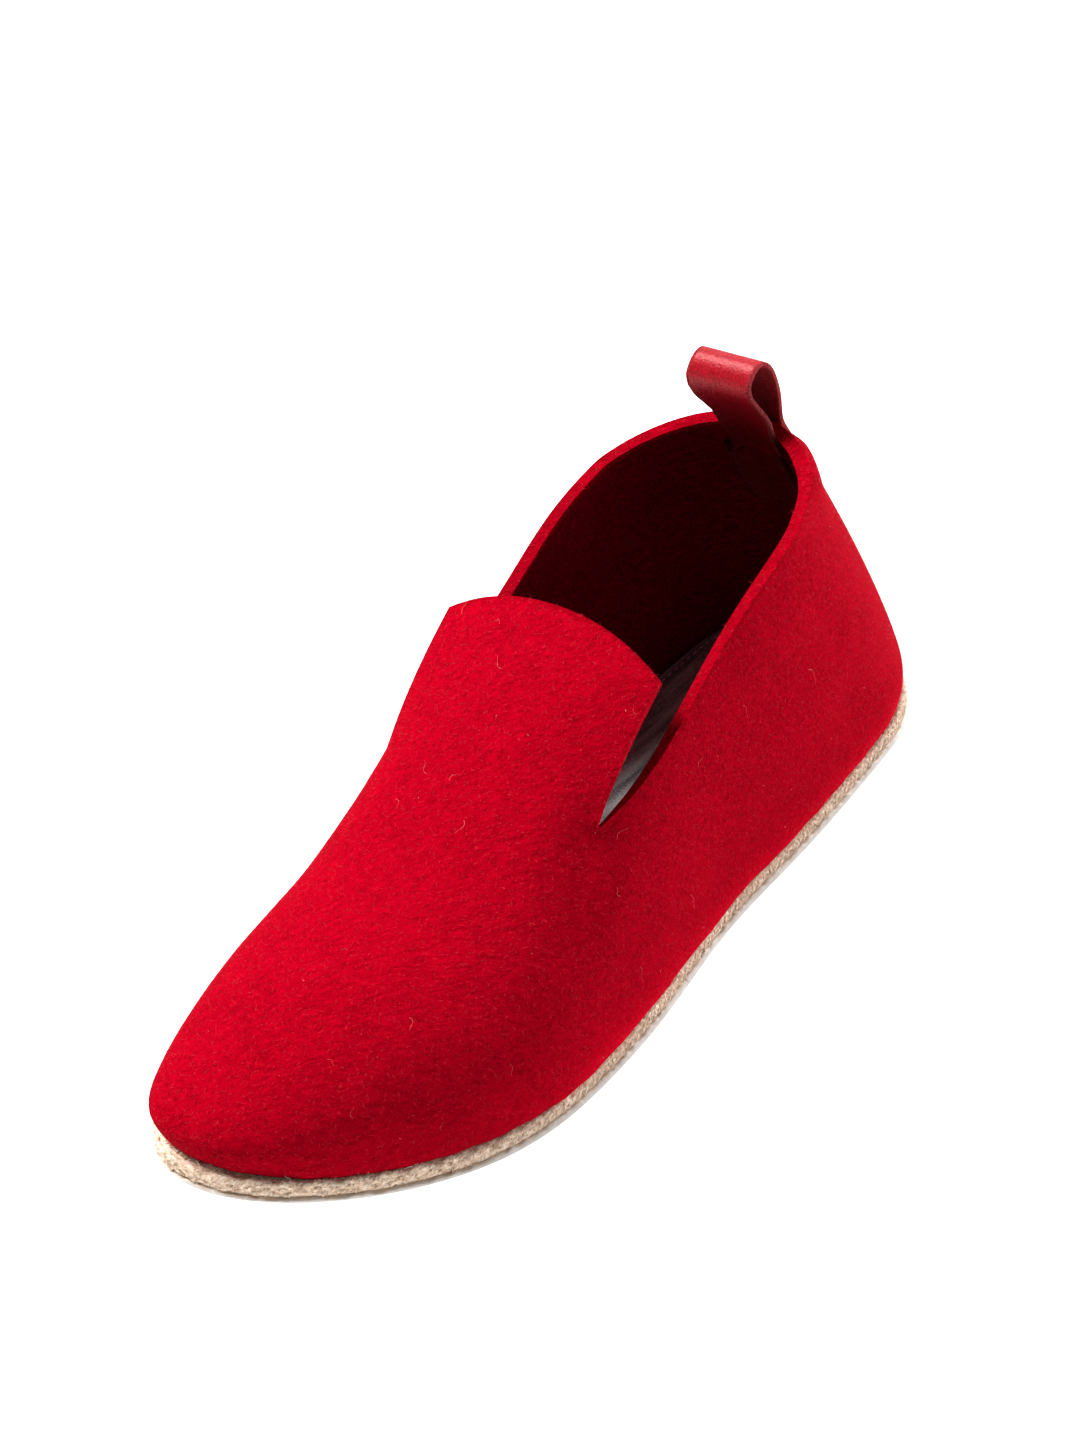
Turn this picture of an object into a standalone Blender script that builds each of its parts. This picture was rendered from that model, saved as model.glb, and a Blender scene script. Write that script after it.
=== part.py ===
"""A left slipper: a moulded felt upper on a jute midsole and a thin rubber outsole.

It has an insole inside and a leather pull loop over the back of its collar. Metres, +Z up. The toe points to -Y,
+X is the outer (lateral) side, and the sole stands on z = 0. A height "on the sole" is measured from the bottom
of the rubber, which turns up at the toe.
"""

from collections import namedtuple

import bmesh
import bpy
import numpy as np

for old in list(bpy.data.objects):
    bpy.data.objects.remove(old)

# Driving dimensions
LENGTH = 0.280
RUBBER_TOP = 0.0026
JUTE_BOTTOM = 0.0029
JUTE_TOP = 0.0071
SEAT_GAP = 0.0003
FELT = 0.0036
LEATHER = 0.0015
SPRING_HEIGHT = 0.0147
SPRING_START = 0.67
HEEL_ROUND, HEEL_POWER = 0.14, 2.16
TOE_ROUND, TOE_POWER = 0.30, 2.23

# The sole seen from below. share runs from the heel's end, 0, to the toe's end, 1. half_width and centre are those
# of the sole before its two ends are rounded off. felt_inset is how far the upper's widest line lies inside it.
Station = namedtuple("Station", "share half_width centre felt_inset")
STATIONS = (
    Station(0.00, 0.0307, 0.0021, 0.0004),
    Station(0.10, 0.0359, 0.0040, -0.0007),
    Station(0.20, 0.0378, 0.0055, -0.0015),
    Station(0.32, 0.0395, 0.0060, -0.0020),
    Station(0.45, 0.0411, 0.0056, -0.0021),
    Station(0.58, 0.0466, 0.0055, -0.0018),
    Station(0.70, 0.0483, 0.0052, -0.0013),
    Station(0.80, 0.0476, 0.0033, -0.0005),
    Station(0.90, 0.0450, -0.0013, 0.0006),
    Station(1.00, 0.0427, -0.0080, 0.0018),
)

# The upper's top line from toe to flap, as heights on the sole, before the nose is rounded off
BULGE_HEIGHT = 0.0143
Crown = namedtuple("Crown", "y height")
CROWN_LINE = (
    Crown(-0.140, 0.0288),
    Crown(-0.110, 0.0404),
    Crown(-0.080, 0.0513),
    Crown(-0.050, 0.0598),
    Crown(-0.020, 0.0778),
    Crown(0.018, 0.0970),
)
NOSE_ROUND, NOSE_POWER = 0.0445, 1.91
TOE_SQUARENESS, INSTEP_SQUARENESS = 2.0, 2.52
RIDGE_SHIFT = 0.0006

# The flap over the instep, and the two slits beside it
SLIT_Y = -0.0221
SLIT_HALF_WIDTH = 0.0364
FLAP_Y = 0.0109
FLAP_HALF_WIDTH = 0.0361
FLAP_ARC = 0.0050
FLAP_SPREAD = 1.43

# The collar: edge is its height, and closing is where the wall's curve would meet over the foot if it went on
Collar = namedtuple("Collar", "y edge closing squareness")
COLLAR_LINE = (
    Collar(0.010, 0.0699, 0.1074, 2.40),
    Collar(0.045, 0.0852, 0.1435, 2.30),
    Collar(0.080, 0.0927, 0.1902, 2.24),
    Collar(0.105, 0.0946, 0.2027, 2.22),
)
HEEL_START = COLLAR_LINE[-1]
COLLAR_BACK, COLLAR_BACK_POWER = 0.0997, 1.4
LEAN, LEAN_POWER, LEAN_START_Y = 0.0279, 1.15, 0.020

# The turned-in foot of the felt
FOOT_TUCK = 0.0022
MARGIN = 0.0080

# Edge profiles, from the bottom face to the top face: how far inside the outline, and the height on the sole
Edge = namedtuple("Edge", "inset height")
RUBBER_EDGE = (
    Edge(0.0018, 0.0),
    Edge(0.0006, 0.0003),
    Edge(0.0, 0.0011),
    Edge(0.0002, RUBBER_TOP),
)
JUTE_EDGE = (
    Edge(0.0016, JUTE_BOTTOM),
    Edge(0.0006, 0.0032),
    Edge(0.0002, 0.0041),
    Edge(0.0002, 0.0053),
    Edge(0.0008, 0.0064),
    Edge(0.0020, JUTE_TOP),
)
FELT_FOOT = JUTE_TOP + SEAT_GAP
MARGIN_TOP = FELT_FOOT + FELT
# The insole's insets are from the felt's widest line. Its middle fills the opening that the turned-in felt leaves.
INSOLE_EDGE = (
    Edge(0.0115, FELT_FOOT),
    Edge(0.0115, MARGIN_TOP + SEAT_GAP),
    Edge(0.0062, MARGIN_TOP + SEAT_GAP),
    Edge(0.0053, MARGIN_TOP + 0.0016),
    Edge(0.0054, MARGIN_TOP + 0.0032),
    Edge(0.0064, MARGIN_TOP + 0.0038),
    Edge(0.0100, MARGIN_TOP + 0.0036),
    Edge(0.0160, MARGIN_TOP + 0.0028),
)

# The pull loop: a strap folded over the back of the collar, with a leg on each side of the felt
LOOP_WIDTH = 0.0215
OUTER_LEG = 0.014
INNER_LEG = 0.034
LEG_TOP = 0.001
LOOP_SEAT = 0.0005
# The fold's middle line over the collar's edge: how far in front of the edge's middle, and how far above it
Fold = namedtuple("Fold", "forward above")
LOOP_FOLD = (
    Fold(-0.0036, 0.0055),
    Fold(-0.0028, 0.0120),
    Fold(-0.0008, 0.0178),
    Fold(0.0026, 0.0206),
    Fold(0.0059, 0.0190),
    Fold(0.0074, 0.0152),
    Fold(0.0070, 0.0106),
    Fold(0.0053, 0.0058),
)
FOLD_TOP = max(row.above for row in LOOP_FOLD)

# Mesh steps
HEEL_STEPS, QUARTER_STEPS, VAMP_STEPS = 7, 12, 16
WALL_STEPS, FLAP_STEPS, ACROSS_STEPS = 9, 6, 12
TUCK_STEPS = 4
SOLE_STEPS = 36
LOOP_ACROSS, LOOP_STEPS, OUTER_LEG_STEPS, INNER_LEG_STEPS = 4, 33, 4, 8
MEASURE_STEPS = 400
NORMAL_STEP = 0.002
MERGE_DISTANCE = 0.000002

LATERAL, MEDIAL = 1, -1


def curve(rows, key, value, at):
    """A smooth curve through one column of a table, read at the given places."""
    xs = np.array([getattr(row, key) for row in rows])
    ys = np.array([getattr(row, value) for row in rows])
    return spline(xs, ys, at)


def spline(xs, ys, at):
    """Natural cubic spline through the points (xs, ys)."""
    count = len(xs)
    step = np.diff(xs)
    slope = np.diff(ys) / step
    system = np.eye(count)
    right = np.zeros(count)
    for i in range(1, count - 1):
        system[i, i - 1 : i + 2] = step[i - 1], 2 * (step[i - 1] + step[i]), step[i]
        right[i] = 6 * (slope[i] - slope[i - 1])
    bend = np.linalg.solve(system, right)
    at = np.clip(at, xs[0], xs[-1])
    k = np.clip(np.searchsorted(xs, at) - 1, 0, count - 2)
    t = at - xs[k]
    start = slope[k] - step[k] * (2 * bend[k] + bend[k + 1]) / 6
    return ys[k] + t * (start + t * (bend[k] / 2 + t * (bend[k + 1] - bend[k]) / (6 * step[k])))


def smooth_path(path, steps):
    """Evenly spaced points on a smooth curve through a path."""
    run = np.concatenate([[0], np.cumsum(np.linalg.norm(np.diff(path, axis=0), axis=1))])
    at = np.linspace(0, run[-1], steps + 1)
    return np.column_stack([spline(run, path[:, k], at) for k in range(3)])


def round_end(distance, radius, power):
    """0 at an end, rising to 1 at the given radius from it along a rounded curve."""
    left = 1 - np.clip(distance / radius, 0, 1)
    return (1 - left**power) ** (1 / power)


def shares(first, last, steps):
    """Shares of the length between two angles, closer together where an end is rounded."""
    return (1 - np.cos(np.linspace(first, last, steps + 1))) / 2


def angle_of(share):
    return np.arccos(1 - 2 * share)


def rise(y):
    """Toe spring: how far the sole lies above the floor."""
    share = (LENGTH / 2 - y) / LENGTH
    return SPRING_HEIGHT * np.clip((share - SPRING_START) / (1 - SPRING_START), 0, 2) ** 2


def half_width(share, inset=0.0):
    ends = round_end(share, HEEL_ROUND, HEEL_POWER) * round_end(1 - share, TOE_ROUND, TOE_POWER)
    return (curve(STATIONS, "share", "half_width", share) - inset) * ends


def middle_of_sole():
    """How far the middle of the sole's box lies to the outer side of the line that centres start from."""
    share = shares(0, np.pi, MEASURE_STEPS)
    mid = curve(STATIONS, "share", "centre", share)
    half = half_width(share)
    return (np.max(mid + half) + np.min(mid - half)) / 2


SIDE_SHIFT = middle_of_sole()


def centre(share):
    return curve(STATIONS, "share", "centre", share) - SIDE_SHIFT


def sole_side(side):
    share = shares(0, np.pi, SOLE_STEPS)
    return np.column_stack([centre(share) + side * half_width(share), LENGTH / 2 - share * LENGTH])


# The upper's own length, from its heel's back to its toe's tip at its widest line
UPPER_BACK = LENGTH / 2 - STATIONS[0].felt_inset
UPPER_TIP = -LENGTH / 2 + STATIONS[-1].felt_inset


def upper_share(y):
    return (y - UPPER_BACK) / (UPPER_TIP - UPPER_BACK)


def upper_y(share):
    return UPPER_BACK + (UPPER_TIP - UPPER_BACK) * share


def upper_half(share):
    return half_width(share, curve(STATIONS, "share", "felt_inset", share))


def upper_side(side, share):
    """Places on the upper's widest line, seen from above."""
    return np.column_stack([centre(share) + side * upper_half(share), upper_y(share)])


def crown(y):
    """Height of the upper's top line over its widest line."""
    base = curve(CROWN_LINE, "y", "height", y) - BULGE_HEIGHT
    return base * round_end(y - UPPER_TIP, NOSE_ROUND, NOSE_POWER)


def arch(across, squareness):
    """Share of the crown's height at a share of the half width."""
    return (1 - np.abs(across) ** squareness) ** (1 / squareness)


SLIT_SHARE = upper_share(SLIT_Y)
SLIT_ACROSS = SLIT_HALF_WIDTH / upper_half(SLIT_SHARE)
SLIT_UP = arch(SLIT_ACROSS, INSTEP_SQUARENESS)
SLIT_TOP = BULGE_HEIGHT + crown(SLIT_Y)
SLIT_FOOT = BULGE_HEIGHT + crown(SLIT_Y) * SLIT_UP
QUARTER_ROWS = (Collar(SLIT_Y, SLIT_FOOT, SLIT_TOP, INSTEP_SQUARENESS),) + COLLAR_LINE

HEEL_SHARE = upper_share(HEEL_START.y)
HEEL_MIDDLE = np.array([centre(HEEL_SHARE), HEEL_START.y])

# Where the upper's columns stand, from the heel's back to the toe's tip
HEEL_COLUMNS = shares(0, angle_of(HEEL_SHARE), HEEL_STEPS)
QUARTER_COLUMNS = shares(angle_of(HEEL_SHARE), angle_of(SLIT_SHARE), QUARTER_STEPS)
VAMP_COLUMNS = shares(angle_of(SLIT_SHARE), np.pi, VAMP_STEPS)


def vamp():
    """The closed front: sections across the foot from the slits to the toe's tip."""
    wall_up = np.linspace(0, SLIT_UP, WALL_STEPS + 1)[:-1]
    top = np.linspace(SLIT_ACROSS, -SLIT_ACROSS, ACROSS_STEPS + 1)
    sections = []
    for share in VAMP_COLUMNS:
        y = upper_y(share)
        along = np.clip((y - UPPER_TIP) / (SLIT_Y - UPPER_TIP), 0, 1)
        squareness = TOE_SQUARENESS + (INSTEP_SQUARENESS - TOE_SQUARENESS) * along
        wall_across = arch(wall_up * arch(SLIT_ACROSS, squareness) / SLIT_UP, squareness)
        across = np.concatenate([wall_across, top, -wall_across[::-1]])
        up = arch(across, squareness)
        ridge = RIDGE_SHIFT * np.sin(np.pi * along) * up**2
        x = centre(share) + ridge + upper_half(share) * across
        z = BULGE_HEIGHT + rise(y) + crown(y) * up
        sections.append(np.column_stack([x, np.full(len(x), y), z]))
    return np.array(sections)


def flap():
    """The flap over the instep, which goes on from the vamp between the slits to its own rounded end."""
    across = np.linspace(1, -1, ACROSS_STEPS + 1)
    spread_half = upper_half(SLIT_SHARE)
    rows = []
    for along in np.linspace(0, 1, FLAP_STEPS + 1):
        half = SLIT_HALF_WIDTH + (FLAP_HALF_WIDTH - SLIT_HALF_WIDTH) * along
        y = SLIT_Y + (FLAP_Y - SLIT_Y) * along + FLAP_ARC * along * (1 - across**2)
        spread = spread_half * (1 + (FLAP_SPREAD - 1) * along)
        z = BULGE_HEIGHT + crown(y) * arch(half * across / spread, INSTEP_SQUARENESS)
        rows.append(np.column_stack([centre(SLIT_SHARE) + half * across, y, z]))
    return np.array(rows)


def wall_points(start, towards, z, closing, squareness, lean_share):
    """Points of the open wall at heights z, drawn in from a start on the widest line towards another place."""
    draw_in = arch((z - BULGE_HEIGHT) / (closing - BULGE_HEIGHT), squareness)[:, None]
    over = (z - BULGE_HEIGHT) / (COLLAR_BACK - BULGE_HEIGHT)
    lean = LEAN * lean_share * over**LEAN_POWER
    flat = towards + (start - towards) * draw_in
    return np.column_stack([flat[:, 0], flat[:, 1] - lean, z])


def quarter(side):
    """One open side of the upper, from the slit back to where the heel's curve starts."""
    columns = []
    for share in QUARTER_COLUMNS:
        y = upper_y(share)
        edge, closing, squareness = (curve(QUARTER_ROWS, "y", name, y) for name in Collar._fields[1:])
        lean_share = np.clip((y - LEAN_START_Y) / (HEEL_START.y - LEAN_START_Y), 0, 1) ** 2
        start = upper_side(side, share)[0]
        towards = np.array([centre(share), y])
        z = np.linspace(BULGE_HEIGHT, edge, WALL_STEPS + 1)
        columns.append(wall_points(start, towards, z, closing, squareness, lean_share))
    return np.array(columns)


def heel_points(start, z):
    """Points of the heel's wall, which is drawn in towards the middle of the heel."""
    return wall_points(start, HEEL_MIDDLE, z, HEEL_START.closing, HEEL_START.squareness, 1.0)


def heel_edge(y):
    """Height of the collar round the heel, which rises towards the back."""
    back = np.clip((y - HEEL_START.y) / (UPPER_BACK - HEEL_START.y), 0, 1)
    return HEEL_START.edge + (COLLAR_BACK - HEEL_START.edge) * back**COLLAR_BACK_POWER


def heel(side):
    """Half of the heel's curve, from the middle of the back to its start."""
    columns = []
    for share in HEEL_COLUMNS:
        z = np.linspace(BULGE_HEIGHT, heel_edge(upper_y(share)), WALL_STEPS + 1)
        columns.append(heel_points(upper_side(side, share)[0], z))
    return np.array(columns)


def heel_face(x, z):
    """The point of the heel's outer face at height z whose line starts x / draw-in from the heel's middle."""
    share = shares(0, angle_of(HEEL_SHARE), MEASURE_STEPS)
    outline = np.concatenate([upper_side(MEDIAL, share)[::-1], upper_side(LATERAL, share)])
    draw_in = arch((z - BULGE_HEIGHT) / (HEEL_START.closing - BULGE_HEIGHT), HEEL_START.squareness)
    start_x = HEEL_MIDDLE[0] + (x - HEEL_MIDDLE[0]) / draw_in
    start = np.array([start_x, np.interp(start_x, outline[:, 0], outline[:, 1])])
    return heel_points(start, np.array([z]))[0]


def heel_point(x, z, offset):
    """A point of the heel's outer face at x and height z, moved outwards by the offset (inwards if negative)."""
    along_x = heel_face(x + NORMAL_STEP, z) - heel_face(x - NORMAL_STEP, z)
    along_z = heel_face(x, z + NORMAL_STEP) - heel_face(x, z - NORMAL_STEP)
    normal = np.cross(along_z, along_x)
    return heel_face(x, z) + offset * normal / np.linalg.norm(normal)


def inwards(loop, inset):
    """A closed outline moved to its inner side."""
    along = np.roll(loop, -1, axis=0) - np.roll(loop, 1, axis=0)
    along /= np.linalg.norm(along, axis=1)[:, None]
    return loop + inset * np.column_stack([along[:, 1], -along[:, 0]])


def closed_outline(lateral, medial):
    """One loop from the heel up the lateral side to the toe and back down the medial side."""
    return np.concatenate([lateral, medial[-2:0:-1]])


def felt_outline(share):
    """The upper's widest line seen from above, as a closed loop."""
    return closed_outline(upper_side(LATERAL, share), upper_side(MEDIAL, share))


def loft(outline, profile):
    """A grid of points: the outline at each step of an edge profile, raised by the toe spring."""
    loops = []
    for row in profile:
        flat = inwards(outline, row.inset)
        loops.append(np.column_stack([flat, row.height + rise(flat[:, 1])]))
    return np.array([np.concatenate([loop, loop[:1]]) for loop in loops])


def foot():
    """The felt below its widest line: it curls under, and a margin lies flat on the jute."""
    drop = BULGE_HEIGHT - FELT_FOOT
    turns = np.linspace(0, np.pi / 2, TUCK_STEPS + 1)
    rows = [Edge(FOOT_TUCK * (1 - np.cos(turn)), BULGE_HEIGHT - drop * np.sin(turn)) for turn in turns]
    rows.append(Edge(FOOT_TUCK + MARGIN / 2, FELT_FOOT))
    rows.append(Edge(FOOT_TUCK + MARGIN, FELT_FOOT))
    columns = np.concatenate([HEEL_COLUMNS, QUARTER_COLUMNS[1:], VAMP_COLUMNS[1:]])
    return loft(felt_outline(columns), rows)


def add_grid(points, faces, grid):
    """Adds a grid of points and its quads to the two lists."""
    start = len(points)
    rows, columns = grid.shape[:2]
    points.extend(grid.reshape(-1, 3))
    for i in range(rows - 1):
        for j in range(columns - 1):
            a = start + i * columns + j
            faces.append((a, a + 1, a + columns + 1, a + columns))


def mesh_object(name, grids, material):
    """An object made of grids of points, joined where their edges meet, with every face turned outwards."""
    points, faces = [], []
    for grid in grids:
        add_grid(points, faces, grid)
    mesh = bpy.data.meshes.new(name)
    mesh.from_pydata([tuple(point) for point in points], [], faces)
    mesh.materials.append(material)
    work = bmesh.new()
    work.from_mesh(mesh)
    bmesh.ops.remove_doubles(work, verts=work.verts, dist=MERGE_DISTANCE)
    bmesh.ops.recalc_face_normals(work, faces=work.faces)
    work.to_mesh(mesh)
    work.free()
    made = bpy.data.objects.new(name, mesh)
    slipper.objects.link(made)
    return made


def solidify(piece, thickness, offset):
    wall = piece.modifiers.new("wall", "SOLIDIFY")
    wall.thickness = thickness
    wall.offset = offset
    wall.use_even_offset = True


def make_layer(name, outline, profile, material):
    """A layer of the sole: its edge profile lofted round the outline, with its two faces closed in strips."""
    side = loft(outline, profile)
    half = len(outline) // 2
    grids = [side]
    for loop in (side[0], side[-1]):
        grids.append(np.stack([loop[: half + 1], loop[: half - 1 : -1]]))
    return mesh_object(name, grids, material)


def make_upper(material):
    grids = [vamp(), flap(), foot()]
    for side in (LATERAL, MEDIAL):
        grids += [quarter(side), heel(side)]
    solidify(mesh_object("upper", grids, material), FELT, -1)


def make_pull_loop(material):
    """A strap with one leg outside the heel, a fold over the collar and a longer leg inside."""
    out = LEATHER / 2 + LOOP_SEAT
    across = np.linspace(-LOOP_WIDTH / 2, LOOP_WIDTH / 2, LOOP_ACROSS + 1) - SIDE_SHIFT
    outer_heights = COLLAR_BACK - np.linspace(OUTER_LEG, LEG_TOP, OUTER_LEG_STEPS + 1)
    inner_heights = COLLAR_BACK - np.linspace(LEG_TOP, INNER_LEG, INNER_LEG_STEPS + 1)
    rim_y = heel_point(-SIDE_SHIFT, COLLAR_BACK, -FELT / 2)[1]
    columns = []
    for x in across:
        outer = [heel_point(x, z, out) for z in outer_heights]
        inner = [heel_point(x, z, -FELT - out) for z in inner_heights]
        sag = heel_point(x, COLLAR_BACK, -FELT / 2)[1] - rim_y
        fold = []
        for row in LOOP_FOLD:
            still_curved = (1 - row.above / FOLD_TOP) ** 2
            y = rim_y - row.forward + sag * still_curved
            fold.append(np.array([x, y, COLLAR_BACK + row.above]))
        columns.append(smooth_path(np.array(outer + fold + inner), LOOP_STEPS))
    solidify(mesh_object("pull_loop", [np.array(columns)], material), LEATHER, 0)


def make_material(name, colour, roughness):
    material = bpy.data.materials.new(name)
    material.use_nodes = True
    shader = material.node_tree.nodes["Principled BSDF"]
    shader.inputs["Base Color"].default_value = (*colour, 1)
    shader.inputs["Roughness"].default_value = roughness
    return material


slipper = bpy.data.collections.new("slipper")
bpy.context.scene.collection.children.link(slipper)

red_felt = make_material("red felt", (0.62, 0.004, 0.012), 0.95)
grey_suede = make_material("grey suede", (0.10, 0.09, 0.085), 0.9)
jute = make_material("jute", (0.52, 0.37, 0.22), 0.9)
rubber = make_material("pale rubber", (0.75, 0.68, 0.63), 0.6)
red_leather = make_material("red leather", (0.35, 0.005, 0.01), 0.45)

sole_outline = closed_outline(sole_side(LATERAL), sole_side(MEDIAL))
make_layer("outsole", sole_outline, RUBBER_EDGE, rubber)
make_layer("midsole", sole_outline, JUTE_EDGE, jute)
make_layer("insole", felt_outline(shares(0, np.pi, SOLE_STEPS)), INSOLE_EDGE, grey_suede)
make_upper(red_felt)
make_pull_loop(red_leather)
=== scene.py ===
# %% [markdown]
# # A red felt slipper
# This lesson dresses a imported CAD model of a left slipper. The CAD gives the form and the sizes, and each
# cell below adds one thing that the eye expects: thick felt with a soft cut edge, a jute braid, creeping
# rubber, a stitched footbed and a leather loop. Sizes are in metres where no MM stands beside them. The toe
# points to -Y and +X is the outer side.

# %% Load the frame
import math
from collections import namedtuple

import bmesh
import bpy
import numpy as np
from mathutils import Matrix, Vector, noise
from mathutils.bvhtree import BVHTree


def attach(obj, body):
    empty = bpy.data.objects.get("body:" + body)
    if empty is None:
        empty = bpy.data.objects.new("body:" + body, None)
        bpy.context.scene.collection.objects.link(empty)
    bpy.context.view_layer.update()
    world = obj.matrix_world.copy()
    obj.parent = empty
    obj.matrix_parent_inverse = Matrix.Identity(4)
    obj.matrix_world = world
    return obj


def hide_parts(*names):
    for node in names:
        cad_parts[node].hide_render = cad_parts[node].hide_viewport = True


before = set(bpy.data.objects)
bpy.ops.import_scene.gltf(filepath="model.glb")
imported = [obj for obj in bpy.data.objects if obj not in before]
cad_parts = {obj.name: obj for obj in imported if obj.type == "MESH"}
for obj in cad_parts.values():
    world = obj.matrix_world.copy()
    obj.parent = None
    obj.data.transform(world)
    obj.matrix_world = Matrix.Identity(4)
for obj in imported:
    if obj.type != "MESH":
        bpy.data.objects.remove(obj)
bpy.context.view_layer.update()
MM = 0.001

# %% [markdown]
# ## The sole's plan
# Several things follow the edge of the sole: the braid, the rubber and the stitches of the footbed. They
# need a curve, not a mesh, so the plan is worked out again here from the same ten stations that the CAD
# uses. Each row gives the half width, the middle line and how far the felt's widest line lies inside the
# sole.

# %% The stations of the sole
LENGTH = 0.280
HEEL_ROUND, HEEL_POWER = 0.14, 2.16
TOE_ROUND, TOE_POWER = 0.30, 2.23
SPRING_HEIGHT, SPRING_START = 0.0147, 0.67
Station = namedtuple("Station", "share half_width centre felt_inset")
STATIONS = (
    Station(0.00, 0.0307, 0.0021, 0.0004),
    Station(0.10, 0.0359, 0.0040, -0.0007),
    Station(0.20, 0.0378, 0.0055, -0.0015),
    Station(0.32, 0.0395, 0.0060, -0.0020),
    Station(0.45, 0.0411, 0.0056, -0.0021),
    Station(0.58, 0.0466, 0.0055, -0.0018),
    Station(0.70, 0.0483, 0.0052, -0.0013),
    Station(0.80, 0.0476, 0.0033, -0.0005),
    Station(0.90, 0.0450, -0.0013, 0.0006),
    Station(1.00, 0.0427, -0.0080, 0.0018),
)


def station_curve(column, share):
    """One column of the table as a natural cubic spline, read at shares of the length."""
    xs = np.array([row.share for row in STATIONS])
    ys = np.array([getattr(row, column) for row in STATIONS])
    count = len(xs)
    step = np.diff(xs)
    slope = np.diff(ys) / step
    system = np.eye(count)
    right = np.zeros(count)
    for i in range(1, count - 1):
        system[i, i - 1 : i + 2] = step[i - 1], 2 * (step[i - 1] + step[i]), step[i]
        right[i] = 6 * (slope[i] - slope[i - 1])
    bend = np.linalg.solve(system, right)
    k = np.clip(np.searchsorted(xs, share) - 1, 0, count - 2)
    t = share - xs[k]
    start = slope[k] - step[k] * (2 * bend[k] + bend[k + 1]) / 6
    return ys[k] + t * (start + t * (bend[k] / 2 + t * (bend[k + 1] - bend[k]) / (6 * step[k])))


def rounded(distance, radius, power):
    """0 at an end, rising to 1 at the radius from it."""
    left = 1 - np.clip(distance / radius, 0, 1)
    return (1 - left**power) ** (1 / power)


def rise(y):
    """How far the toe spring lifts the sole off the floor."""
    share = (LENGTH / 2 - y) / LENGTH
    return SPRING_HEIGHT * np.clip((share - SPRING_START) / (1 - SPRING_START), 0, 2) ** 2


# %% [markdown]
# The outline is first drawn with many points, then moved inwards and spread evenly by its own length.
# Evenly spread points matter, because a braid or a row of stitches that follows them must not bunch up at
# the toe.

# %% The outline at any inset
OUTLINE_STEPS = 720


def plan(of_felt=False):
    """The sole's outline, or the felt's widest line, as a closed loop seen from above."""
    share = (1 - np.cos(np.linspace(0, np.pi, OUTLINE_STEPS // 2 + 1))) / 2
    inset = station_curve("felt_inset", share) if of_felt else 0
    ends = rounded(share, HEEL_ROUND, HEEL_POWER) * rounded(1 - share, TOE_ROUND, TOE_POWER)
    half = (station_curve("half_width", share) - inset) * ends
    mid = station_curve("centre", share)
    back, tip = (STATIONS[0].felt_inset, STATIONS[-1].felt_inset) if of_felt else (0, 0)
    y = (LENGTH / 2 - back) - share * (LENGTH - back - tip)
    outer = np.column_stack([mid + half, y])
    inner = np.column_stack([mid - half, y])
    return np.concatenate([outer, inner[-2:0:-1]])


SOLE_MIDDLE = (plan()[:, 0].max() + plan()[:, 0].min()) / 2


def along_loop(loop, count):
    """The closed loop again with evenly spaced points."""
    closed = np.concatenate([loop, loop[:1]])
    run = np.concatenate([[0], np.cumsum(np.linalg.norm(np.diff(closed, axis=0), axis=1))])
    at = np.linspace(0, run[-1], count, endpoint=False)
    return np.column_stack([np.interp(at, run, closed[:, k]) for k in range(closed.shape[1])])


def outward(loop):
    """Unit normals of a closed loop, pointing out of it."""
    along = np.roll(loop, -1, axis=0) - np.roll(loop, 1, axis=0)
    along /= np.linalg.norm(along, axis=1)[:, None]
    return np.column_stack([-along[:, 1], along[:, 0]])


def edge_loop(inset, count, of_felt=False):
    """Evenly spaced places on the outline, moved inwards, in the frame of the CAD."""
    loop = along_loop(plan(of_felt), count)
    loop = loop - inset * outward(loop)
    return along_loop(loop - [SOLE_MIDDLE, 0], count)


def round_length(loop):
    """How long a closed loop is."""
    return np.linalg.norm(np.roll(loop, -1, axis=0) - loop, axis=1).sum()


sole_edge = edge_loop(0, OUTLINE_STEPS)
EDGE_LENGTH = round_length(sole_edge)
print("sole edge", round(EDGE_LENGTH, 4), "m round, half width", round(sole_edge[:, 0].max(), 4))

# %% [markdown]
# ## Helpers
# Materials and Geometry Nodes trees are both made of nodes, so one small function serves both, and a few
# more stand for the kinds that come back often. Colours are written as the sRGB hex values that a colour
# picker shows, and one function turns them to the linear numbers that Blender computes with.

# %% Nodes, colours and objects


def add(tree, kind, values=(), **settings):
    """Adds a node with its properties and input values. A node as a value is linked by its first output."""
    made = tree.nodes.new(kind)
    for name, value in settings.items():
        setattr(made, name, value)
    for key, value in values.items() if isinstance(values, dict) else enumerate(values):
        if isinstance(value, bpy.types.Node):
            value = value.outputs[0]
        if isinstance(value, bpy.types.NodeSocket):
            tree.links.new(value, made.inputs[key])
        elif value is not None:
            made.inputs[key].default_value = value
    return made


def maths(tree, operation, *values):
    """A sum of one kind on up to three values."""
    return add(tree, "ShaderNodeMath", values, operation=operation)


def scaled(tree, vector, factor):
    """A vector or a colour times a number."""
    return add(tree, "ShaderNodeVectorMath", {0: vector, "Scale": factor}, operation="SCALE")


def cloud(tree, place, size, **settings):
    """A noise with cells of the given size."""
    return add(tree, "ShaderNodeTexNoise", {"Vector": place, "Scale": 1 / size, **settings})


def linear(hex_colour):
    """The linear colour of an sRGB hex value such as #c80018."""
    parts = [int(hex_colour[i : i + 2], 16) / 255 for i in (1, 3, 5)]
    return tuple(c / 12.92 if c <= 0.04045 else ((c + 0.055) / 1.055) ** 2.4 for c in parts) + (1.0,)


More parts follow.
